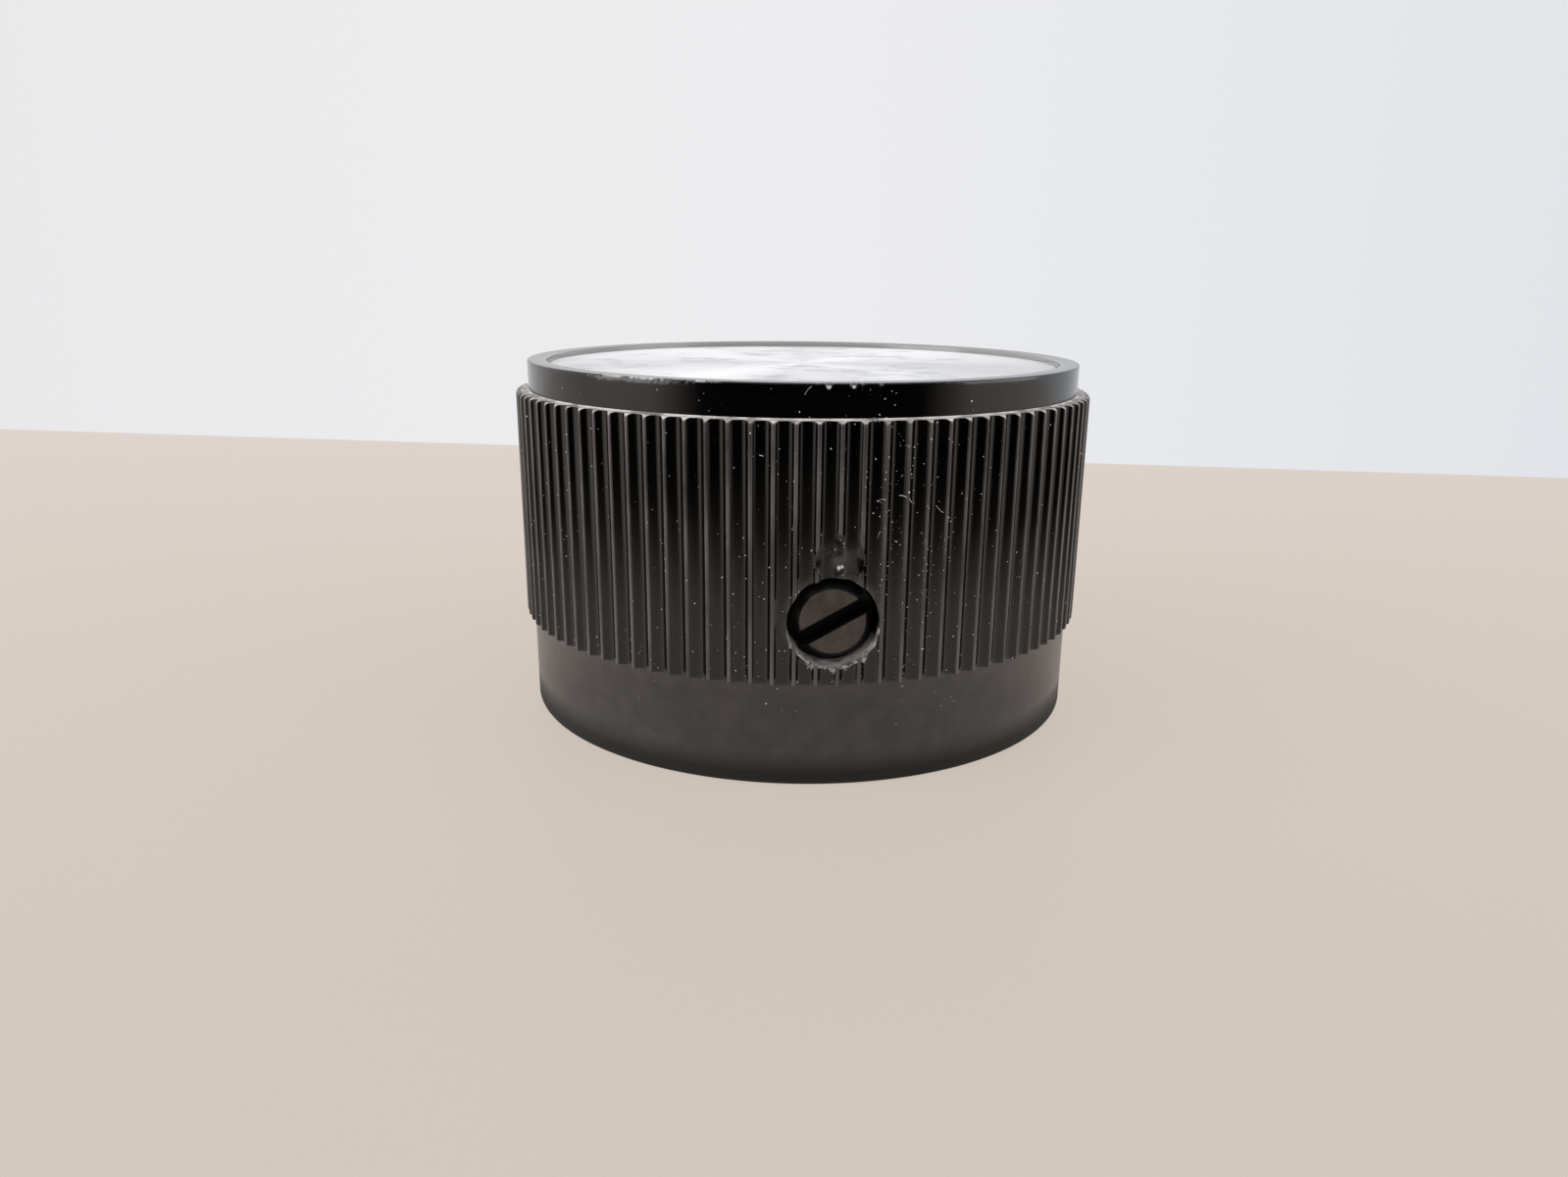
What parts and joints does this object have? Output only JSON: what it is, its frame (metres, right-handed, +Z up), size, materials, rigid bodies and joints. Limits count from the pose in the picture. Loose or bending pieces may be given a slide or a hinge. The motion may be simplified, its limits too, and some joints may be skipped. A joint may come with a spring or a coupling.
{
  "type": "switch knob",
  "caption": "Round black fluted control knob with a smooth skirt, a raised rim round a spun aluminium disc, a brass shaft bushing and a slotted set screw.",
  "frame": {"origin": "on the shaft axis at the skirt's foot, where the knob stands", "axes": "+Z up the shaft axis towards the disc, -Y towards the set screw, +X to the right as seen facing the screw"},
  "size_m": [0.0318, 0.0318, 0.019],
  "materials": {
    "moulded_black": "compression-moulded black thermoset, glossy rim, duller flutes and skirt",
    "turned_brass": "turned, lightly tarnished",
    "blackened_steel": "black-oxided steel, worn grey at the slot",
    "bond_film": "thin adhesive film",
    "spun_aluminium": "spun with fine concentric lines"
  },
  "bodies": {
    "root": {"knob_body": "moulded_black", "shaft_bushing": "turned_brass", "set_screw": "blackened_steel", "disc_bond": "bond_film", "top_disc": "spun_aluminium"}
  },
  "joints": []
}
